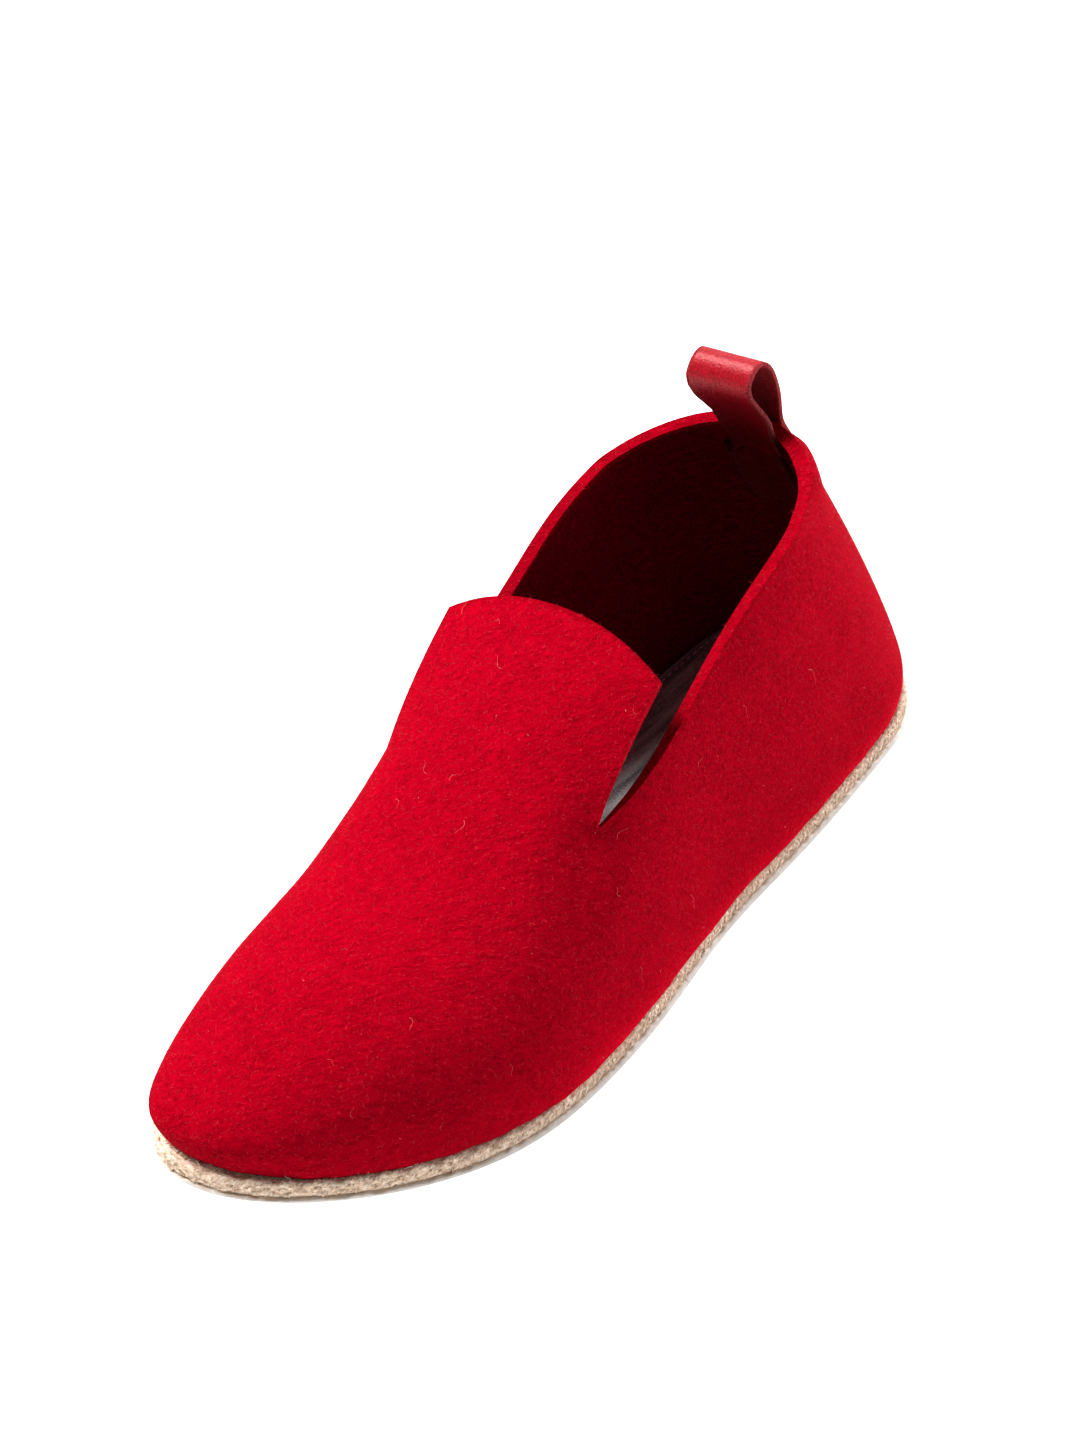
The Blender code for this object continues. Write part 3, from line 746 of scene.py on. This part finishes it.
def braid_tree():
    """Copies a curve once for each yarn and weaves the copies into a braid."""
    tree, given = new_geometry_tree(
        "braid",
        Pitch="Float",
        Twist="Float",
        WeaveUp="Float",
        WeaveOut="Float",
        StrandRadius="Float",
        Yarns="Int",
        YarnRadius="Float",
        Material="Material",
    )
    edge, pitch, twist, weave_up, weave_out = given.outputs[:5]
    strand_radius, yarns_a_strand, yarn_radius, material = given.outputs[5:9]
    steps = {"Curve": edge, "Length": CURVE_STEP}
    fine = add(tree, "GeometryNodeResampleCurve", steps, mode="LENGTH")
    every_yarn = maths(tree, "MULTIPLY", yarns_a_strand, STRANDS)
    one_each = {"Geometry": fine, "Amount": every_yarn}
    copies = add(tree, "GeometryNodeDuplicateElements", one_each, domain="SPLINE")
    number = copies.outputs["Duplicate Index"]
    strand = maths(tree, "FLOOR", maths(tree, "DIVIDE", number, yarns_a_strand))
    yarn = maths(tree, "MODULO", number, yarns_a_strand)
    yarn_share = maths(tree, "DIVIDE", yarn, yarns_a_strand)
    strand_share = maths(tree, "MULTIPLY", strand, 1 / STRANDS)
    run = add(tree, "GeometryNodeSplineParameter").outputs["Length"]

    def turned(length, share):
        """An angle that makes a turn in a length of curve, started at a share of a turn for each copy."""
        turns = maths(tree, "DIVIDE", run, length)
        return maths(tree, "MULTIPLY", maths(tree, "ADD", turns, share), math.tau)

    weave = turned(pitch, strand_share)
    yarn_turn = turned(twist, yarn_share)
    sine = maths(tree, "SINE", weave)
    sine_twice = maths(tree, "SINE", maths(tree, "MULTIPLY", weave, 2.0))
    woven_up = maths(tree, "MULTIPLY", sine, weave_up)
    woven_out = maths(tree, "MULTIPLY", sine_twice, weave_out)

    place = add(tree, "GeometryNodeInputPosition")
    y = add(tree, "ShaderNodeSeparateXYZ", [place]).outputs["Y"]
    toe = add(tree, "ShaderNodeMapRange", [y, TOE_START, TOE_END, 0.0, 1.0], interpolation_type="SMOOTHSTEP")
    layer = maths(tree, "MULTIPLY", maths(tree, "SUBTRACT", strand, 1.0), LAYER_GAP)
    drawn = maths(tree, "MULTIPLY_ADD", woven_up, WEAVE_LEFT, layer)
    up = add(tree, "ShaderNodeMix", {0: toe.outputs[0], 2: woven_up.outputs[0], 3: drawn.outputs[0]})
    up = maths(tree, "MULTIPLY_ADD", maths(tree, "COSINE", yarn_turn), strand_radius, up)
    out = maths(tree, "MULTIPLY_ADD", maths(tree, "SINE", yarn_turn), strand_radius, woven_out)
    out = maths(tree, "MULTIPLY", out, PRESSED_FLAT)
    wobble = cloud(tree, place, LOOSE_SIZE, Detail=1).outputs["Color"]
    loose = add(tree, "ShaderNodeVectorMath", [wobble, (0.5, 0.5, 0.5)], operation="SUBTRACT")
    loose = scaled(tree, loose, LOOSE)

    tangent = add(tree, "GeometryNodeInputTangent")
    side = add(tree, "ShaderNodeVectorMath", [(0, 0, 1), tangent], operation="CROSS_PRODUCT")
    side = scaled(tree, side, out)
    lift = add(tree, "ShaderNodeCombineXYZ", {"Z": up})
    moved = add(tree, "ShaderNodeVectorMath", [side, lift], operation="ADD")
    moved = add(tree, "ShaderNodeVectorMath", [moved, loose], operation="ADD")
    woven = add(tree, "GeometryNodeSetPosition", {"Geometry": copies, "Offset": moved})

    def marked(geometry, name, value):
        """The geometry with a value kept on its points."""
        kept = {"Geometry": geometry, "Name": name, "Value": value}
        return add(tree, "GeometryNodeStoreNamedAttribute", kept)

    line = marked(woven, "along", maths(tree, "MULTIPLY_ADD", number, YARN_SHIFT, run))
    ring = add(tree, "GeometryNodeCurvePrimitiveCircle", {"Resolution": 4, "Radius": yarn_radius})
    ring_share = add(tree, "GeometryNodeSplineParameter").outputs["Factor"]
    girth = maths(tree, "MULTIPLY", ring_share, yarn_radius)
    ring = marked(ring, "around", maths(tree, "MULTIPLY", girth, math.tau))
    yarns = add(tree, "GeometryNodeCurveToMesh", {"Curve": line, "Profile Curve": ring})
    return end_tree(tree, add(tree, "GeometryNodeSetShadeSmooth", [yarns]), material)


# %% Weave the braid


def piece_from(source, name):
    """A plain mesh piece of what a curve or mesh evaluates to. The source is removed."""
    made = scene_object(name, evaluated_mesh(source))
    bpy.data.objects.remove(source)
    return made


weaving = braid_tree()
braids = []
for row in WINDINGS:
    line, line_length = edge_curve(row.name + "_line", row.inset * MM, row.height * MM)
    nodes_modifier(
        line,
        weaving,
        Pitch=line_length / round(line_length / (row.pitch * MM)),
        Twist=line_length / round(line_length / (row.twist * MM)),
        WeaveUp=row.up * MM,
        WeaveOut=row.out * MM,
        StrandRadius=row.strand_radius * MM,
        Yarns=row.yarns,
        YarnRadius=row.yarn_radius * MM,
        Material=jute_yarn,
    )
    braids.append(piece_from(line, row.name))
    print(row.name, round(line_length, 3), "m long,", triangles(braids[-1]), "triangles")

# %% [markdown]
# Behind the two windings the cord goes on inwards. The felt hides it, so the rest of the midsole is one
# plain core of the same jute, a little lower and further in than the braids.

# %% The core of the midsole
Edge = namedtuple("Edge", "inset height")


def edge_rows(*rows):
    """Places on a layer's edge, from pairs of millimetres: how far in and how high."""
    return [Edge(inset * MM, height * MM) for inset, height in rows]


def ring_mesh(name, rows, count, material, creep=None):
    """A closed layer of the sole lofted from edge rows, with both faces filled. creep lifts its top rows.

    Each point keeps how far round the sole it is, how far across the rows and its share of the way up."""
    loops = []
    for number, row in enumerate(rows):
        loop = edge_loop(row.inset, count)
        height = np.full(count, row.height) if creep is None else row.height + creep(loop, number)
        loops.append(np.column_stack([loop, height + rise(loop[:, 1])]))
    steps = [math.dist(low, high) for low, high in zip(rows[:-1], rows[1:])]
    across = np.concatenate([[0], np.cumsum(steps)])
    marks = {
        "along": np.tile(np.linspace(0, EDGE_LENGTH, count), len(rows)),
        "around": np.repeat(across, count),
        "share": np.repeat(np.linspace(0, 1, len(rows)), count),
    }
    shape = bmesh.new()
    rings = [[shape.verts.new(point) for point in loop] for loop in loops]
    for low, high in zip(rings[:-1], rings[1:]):
        for i in range(count):
            j = (i + 1) % count
            shape.faces.new((low[i], low[j], high[j], high[i]))
    for ring in (rings[0], rings[-1]):
        for i in range(1, count // 2):
            j = count - i
            if i + 1 < j - 1:
                shape.faces.new((ring[i], ring[i + 1], ring[j - 1], ring[j]))
            else:
                shape.faces.new((ring[i], ring[i + 1], ring[j]))
        shape.faces.new((ring[0], ring[1], ring[count - 1]))
    bmesh.ops.recalc_face_normals(shape, faces=shape.faces)
    mesh = to_mesh(shape, name, material)
    for label, values in marks.items():
        mesh.attributes.new(label, "FLOAT", "POINT").data.foreach_set("value", values.astype(np.float32))
    return scene_object(name, mesh)


CORE_ROWS = edge_rows(
    (2.0, 1.3), (1.2, 1.8), (0.9, 3.0), (0.9, 4.6), (1.1, 5.6), (1.8, 6.3), (3.0, 6.6), (7.0, 6.9)
)
jute_core = ring_mesh("jute_core", CORE_ROWS, 600, core_jute)
for piece in (*braids, jute_core):
    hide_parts("midsole")
    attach(piece, "root")
print("jute core", triangles(jute_core), "triangles")

# %% [markdown]
# ## The rubber outsole
# The rubber is poured or pressed on warm, so it creeps up between the strands and ends in an uneven edge.
# It is pale and lets some light through. The lofted layer has a noise in the height of its top rows, and
# its colour turns from rubber to jute where it is thinnest.

# %% Rubber piece
RUBBER_ROWS = edge_rows(
    (4.0, 0), (1.8, 0), (0.6, 0.25), (0.05, 0.7), (0, 1.2), (0, 1.8), (0.15, 2.3), (0.55, 2.5), (3.0, 2.0)
)
CREEP_ROWS = (4, 5, 6, 7)
CREEP_MIDDLE, CREEP_AT_TOE = 0.2 * MM, -0.75 * MM
CREEP_LEAST, CREEP_MOST = -1.0 * MM, 1.2 * MM
CREEP_WAVE, CREEP_DRIP = 8 * MM, 2 * MM
CREEP_HEIGHT = 0.6 * MM


def rubber_creep(loop, number):
    """How far the rubber's upper rows have crept up the jute: in waves, with small drips, less at the toe."""
    if number not in CREEP_ROWS:
        return np.zeros(len(loop))
    toe = np.clip((TOE_START - loop[:, 1]) / (TOE_START - TOE_END), 0, 1)
    lift = CREEP_MIDDLE + (CREEP_AT_TOE - CREEP_MIDDLE) * toe
    for i, (x, y) in enumerate(loop):
        waves = noise.noise(Vector((x, y, 0)) / CREEP_WAVE)
        drips = noise.noise(Vector((x, y, 0.05)) / CREEP_DRIP)
        lift[i] += CREEP_HEIGHT * (waves + drips)
    share = min(1, (number - CREEP_ROWS[0] + 1) / 3)
    return np.clip(lift, CREEP_LEAST, CREEP_MOST) * share


def rubber_material():
    """Pale crepe rubber: milky, a little see-through and softly glossy."""
    material, tree, shader = new_material("pale crepe rubber")
    place = add(tree, "ShaderNodeTexCoord").outputs["Object"]
    clouds = cloud(tree, place, 4 * MM, Detail=4)
    specks = cloud(tree, place, 0.9 * MM, Detail=4)
    share = add(tree, "ShaderNodeAttribute", attribute_name="share")
    thin = maths(tree, "MULTIPLY_ADD", specks, 0.6, share.outputs["Fac"])
    thin = add(tree, "ShaderNodeMapRange", [thin, 0.95, 1.2, 0.0, 0.8]).outputs[0]
    pale = ramp(tree, clouds, (0.35, "#c2bcb6"), (0.65, "#d1ccc7")).outputs[0]
    colour = add(tree, "ShaderNodeMix", {0: thin, 6: pale, 7: linear("#cdb8a2")}, data_type="RGBA").outputs[2]
    milky = dict(Subsurface_Weight=0.35, Subsurface_Radius=(1.0, 0.75, 0.6), Subsurface_Scale=1.2 * MM)
    finish_shader(tree, shader, colour, clouds, 0.3, 0.3 * MM, Roughness=0.5, **milky)
    return material


rubber_sole = ring_mesh("rubber_sole", RUBBER_ROWS, 1200, rubber_material(), rubber_creep)
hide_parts("outsole")
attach(rubber_sole, "root")
print("rubber", triangles(rubber_sole), "triangles")

# %% [markdown]
# ## Fuzz, hairs and stray fibres
# Wool and jute both shed fibres, and they are what makes an outline look soft. One tree scatters copies of
# a small bent ribbon over chosen faces, leaning at random. It makes the felt's short fuzz, a few long pale
# hairs and the jute's stray fibres, with a different ribbon, density and lean for each.

# %% One fibre
CURL_TURN = 1.6 * math.pi


def fibre_object(name, length, width, bow, curl, material, joints=3):
    """A tapered ribbon that stands up from the origin, bowed to one side and curled to the other."""
    shape = bmesh.new()
    pairs = []
    for step in range(joints):
        share = step / joints
        x = curl * math.sin(share * CURL_TURN)
        half = width / 2 * (1 - 0.5 * share)
        y = bow * share**2
        pairs.append([shape.verts.new((x + side * half, y, length * share)) for side in (-1, 1)])
    tip = shape.verts.new((curl * math.sin(CURL_TURN), bow, length))
    for (a, b), (c, d) in zip(pairs[:-1], pairs[1:]):
        shape.faces.new((a, b, d, c))
    shape.faces.new((*pairs[-1], tip))
    return scene_object(name, to_mesh(shape, name, material, smooth=False))


def fibre_material(name, colour, sheen):
    """A single fibre: matt, a little brighter than the mass it came from."""
    material, _, shader = new_material(name)
    set_inputs(shader, Base_Color=linear(colour), Roughness=0.8, Sheen_Weight=sheen)
    return material


# %% Scatter fibres
SHORTEST, LONGEST = 0.55, 1.3
OFF_THE_FLOOR = 0.1 * MM
NO_FACE = 99


def scatter_tree():
    """Copies a fibre over the faces that aren't of the inside's material, leaning and turned at random."""
    numbers = dict(Density="Float", LeanLow="Float", LeanHigh="Float", Seed="Int", Inside="Int")
    tree, given = new_geometry_tree("scatter", Fibre="Object", **numbers, Material="Material")
    mesh, fibre, density, lean_low, lean_high, seed, inside, material = given.outputs[:8]
    slot_number = add(tree, "GeometryNodeInputMaterialIndex")
    both = {2: slot_number, 3: inside}
    outside = add(tree, "FunctionNodeCompare", both, data_type="INT", operation="NOT_EQUAL")
    spread = {"Mesh": mesh, "Selection": outside, "Density": density, "Seed": seed}
    points = add(tree, "GeometryNodeDistributePointsOnFaces", spread)
    low = add(tree, "ShaderNodeCombineXYZ", [lean_low, 0.0, 0.0])
    high = add(tree, "ShaderNodeCombineXYZ", [lean_high, 0.0, math.tau])
    lean = add(tree, "FunctionNodeRandomValue", {0: low, 1: high, "Seed": seed}, data_type="FLOAT_VECTOR")
    lean = add(tree, "FunctionNodeEulerToRotation", [lean])
    turns = [points.outputs["Rotation"], lean]
    turned = add(tree, "FunctionNodeRotateRotation", turns, rotation_space="LOCAL")
    size = add(tree, "FunctionNodeRandomValue", {2: SHORTEST, 3: LONGEST, "Seed": 7}, data_type="FLOAT")
    stem = add(tree, "GeometryNodeObjectInfo", [fibre]).outputs["Geometry"]
    each = {"Points": points, "Instance": stem, "Rotation": turned, "Scale": size.outputs[1]}
    return end_tree(tree, add(tree, "GeometryNodeInstanceOnPoints", each), material)


scattering = scatter_tree()


def scatter(name, over, fibre, density, lean, seed, inside=NO_FACE):
    """A piece made of fibres scattered over another piece. Fibres that reach the floor lie on it."""
    carrier = scene_object(name + "_carrier", over.data.copy())
    low, high = (math.radians(angle) for angle in lean)
    numbers = dict(Density=density, LeanLow=low, LeanHigh=high, Seed=seed, Inside=inside)
    nodes_modifier(carrier, scattering, Fibre=fibre, **numbers, Material=fibre.data.materials[0])
    made = piece_from(carrier, name)
    bpy.data.objects.remove(fibre)
    for vertex in made.data.vertices:
        vertex.co.z = max(vertex.co.z, OFF_THE_FLOOR)
    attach(made, "root")
    print(name, triangles(made), "triangles")


red_fibre = fibre_material("red wool fibre", "#b4061a", 0.05)
pale_fibre = fibre_material("pale wool fibre", "#e07a72", 0.2)
# The jute straws are real loose fibres, with a near-white colour that is also a painted highlight.
pale_jute_fibre_highlight = fibre_material("jute fibre", "#fff0da", 0.1)
brown_fibre = fibre_material("brown jute fibre", "#86623f", 0.0)
fuzz = fibre_object("fuzz", 1.2 * MM, 0.06 * MM, 0.3 * MM, 0.1 * MM, red_fibre)
scatter("felt_fuzz", felt_upper, fuzz, 460000, (50, 84), 3, INNER_FACE)
hair = fibre_object("hair", 3.6 * MM, 0.05 * MM, 0.5 * MM, 0.6 * MM, pale_fibre, joints=8)
scatter("pale_hairs", felt_upper, hair, 900, (78, 88), 5, INNER_FACE)
speck = fibre_object("speck", 0.5 * MM, 0.10 * MM, 0.1 * MM, 0.1 * MM, pale_fibre)
scatter("pale_specks", felt_upper, speck, 1500, (76, 88), 8, INNER_FACE)
straw = fibre_object("straw", 2.2 * MM, 0.13 * MM, 0.5 * MM, 0.4 * MM, pale_jute_fibre_highlight, joints=4)
scatter("jute_fibres", braids[0], straw, 150000, (66, 88), 11)
brown = fibre_object("brown", 1.6 * MM, 0.15 * MM, 0.4 * MM, 0.3 * MM, brown_fibre, joints=4)
scatter("brown_fibres", braids[0], brown, 60000, (74, 88), 17)
stray = fibre_object("stray", 3.4 * MM, 0.07 * MM, 0.9 * MM, 0.5 * MM, pale_jute_fibre_highlight, joints=6)
scatter("jute_strays", braids[0], stray, 14000, (40, 80), 23)

# %% [markdown]
# ## The footbed's stitches
# A row of pale stitches runs just inside the footbed's edge. They follow a path, so Geometry Nodes lay
# them: the path is sampled once a stitch and a small rounded thread is put at each point along the path's
# direction.

# %% Stitches on the footbed
STITCH_INSET = 8.2 * MM
STITCH_PITCH = 3.0 * MM
STITCH_LENGTH = 1.9 * MM
THREAD_WIDTH, THREAD_HEIGHT = 0.45 * MM, 0.36 * MM
THREAD_RISE = 0.1 * MM
THREAD_SIDES, THREAD_RINGS = 8, 6
ABOVE_ALL = 0.2


def thread_object(material):
    """One stitch: a short thread along X, thicker in its middle, with round ends."""
    shape = bmesh.new()
    rings = []
    for step in range(THREAD_RINGS + 1):
        angle = math.pi * step / THREAD_RINGS
        x = -math.cos(angle) * STITCH_LENGTH / 2
        sides = THREAD_SIDES if 0 < step < THREAD_RINGS else 1
        turns = [math.tau * side / THREAD_SIDES for side in range(sides)]
        across = math.sin(angle) * THREAD_WIDTH / 2
        high = math.sin(angle) * THREAD_HEIGHT / 2
        rings.append([shape.verts.new((x, across * math.cos(t), high * math.sin(t))) for t in turns])
    for low, top in zip(rings[:-1], rings[1:]):
        for i in range(THREAD_SIDES):
            j = (i + 1) % THREAD_SIDES
            corners = (low[i % len(low)], top[i % len(top)], top[j % len(top)], low[j % len(low)])
            shape.faces.new(tuple(dict.fromkeys(corners)))
    return scene_object("stitch", to_mesh(shape, "stitch", material))


def stitch_tree():
    """Puts a stitch at every step along a curve, turned along it."""
    tree, given = new_geometry_tree("stitches", Stitch="Object", Pitch="Float", Material="Material")
    line, stitch, pitch, material = given.outputs[:4]
    steps = add(tree, "GeometryNodeResampleCurve", {"Curve": line, "Length": pitch}, mode="LENGTH")
    tangent = add(tree, "GeometryNodeInputTangent")
    along = add(tree, "FunctionNodeAlignRotationToVector", {"Vector": tangent}, axis="X")
    thread = add(tree, "GeometryNodeObjectInfo", [stitch]).outputs["Geometry"]
    each = {"Points": steps, "Instance": thread, "Rotation": along}
    return end_tree(tree, add(tree, "GeometryNodeInstanceOnPoints", each), material)


def footbed_line(inset, count):
    """A closed curve on the top of the footbed, at an inset from the felt's widest line."""
    surface = BVHTree.FromObject(footbed, bpy.context.evaluated_depsgraph_get())
    points = []
    for x, y in edge_loop(inset, count, of_felt=True):
        hit = surface.ray_cast(Vector((x, y, ABOVE_ALL)), Vector((0, 0, -1)))[0]
        points.append((x, y, hit.z + THREAD_RISE))
    return closed_curve("stitch_line", points)


linen = fibre_material("pale linen thread", "#cfc6bb", 0.1)
stitch = thread_object(linen)
stitch_line = footbed_line(STITCH_INSET, 400)
nodes_modifier(stitch_line, stitch_tree(), Stitch=stitch, Pitch=STITCH_PITCH, Material=linen)
stitches = piece_from(stitch_line, "footbed_stitches")
bpy.data.objects.remove(stitch)
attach(stitches, "root")
print("stitches", triangles(stitches), "triangles")

# %% [markdown]
# ## Floor and light
# A studio photograph on white needs a pale floor without a horizon. This one glows, so it stays white and
# lights the sole from below. The main light is a large soft one from the upper left of the picture. Two
# more graze the heel from the right, and two weak ones fill the shadows. They are placed in the camera's
# own directions.

# %% Floor and lights
FLOOR_HALF = 12.0
CORNERS = ((-1, -1), (1, -1), (1, 1), (-1, 1))
floor_mesh = bpy.data.meshes.new("floor")
floor_mesh.from_pydata([(x * FLOOR_HALF, y * FLOOR_HALF, 0) for x, y in CORNERS], [], [(0, 1, 2, 3)])
floor = scene_object("floor", floor_mesh)
paper, _, paper_shader = new_material("white paper")
set_inputs(paper_shader, Base_Color=linear("#cdccca"), Roughness=0.9)
set_inputs(paper_shader, Emission_Color=(1, 1, 1, 1), Emission_Strength=0.8)
floor_mesh.materials.append(paper)


def soft_light(name, right, up, back, size, power):
    """An area light in the camera's directions, turned to the slipper."""
    light = bpy.data.lights.new(name, "AREA")
    light.size = size
    light.energy = power
    made = scene_object(name, light)
    made.location = TARGET + RIGHT * right + UP * up + BACK * back
    made.rotation_euler = (made.location - TARGET).to_track_quat("Z", "Y").to_euler()


soft_light("key", -0.9, 1.2, 0.5, 0.7, 60)
soft_light("behind", -0.1, 1.5, -0.5, 1.0, 6)
soft_light("fill", 1.2, 0.6, 1.0, 1.2, 4)
soft_light("rim", 1.1, 0.85, -0.3, 0.7, 18.5)
soft_light("heel", 1.1, 0.9, -0.9, 0.7, 27)
world = bpy.data.worlds.new("studio")
world.use_nodes = True
set_inputs(world.node_tree.nodes["Background"], Color=(1, 1, 1, 1), Strength=0.10)
bpy.context.scene.world = world
bpy.context.scene.view_settings.view_transform = "Standard"
print("floor, five soft lights and a white world")
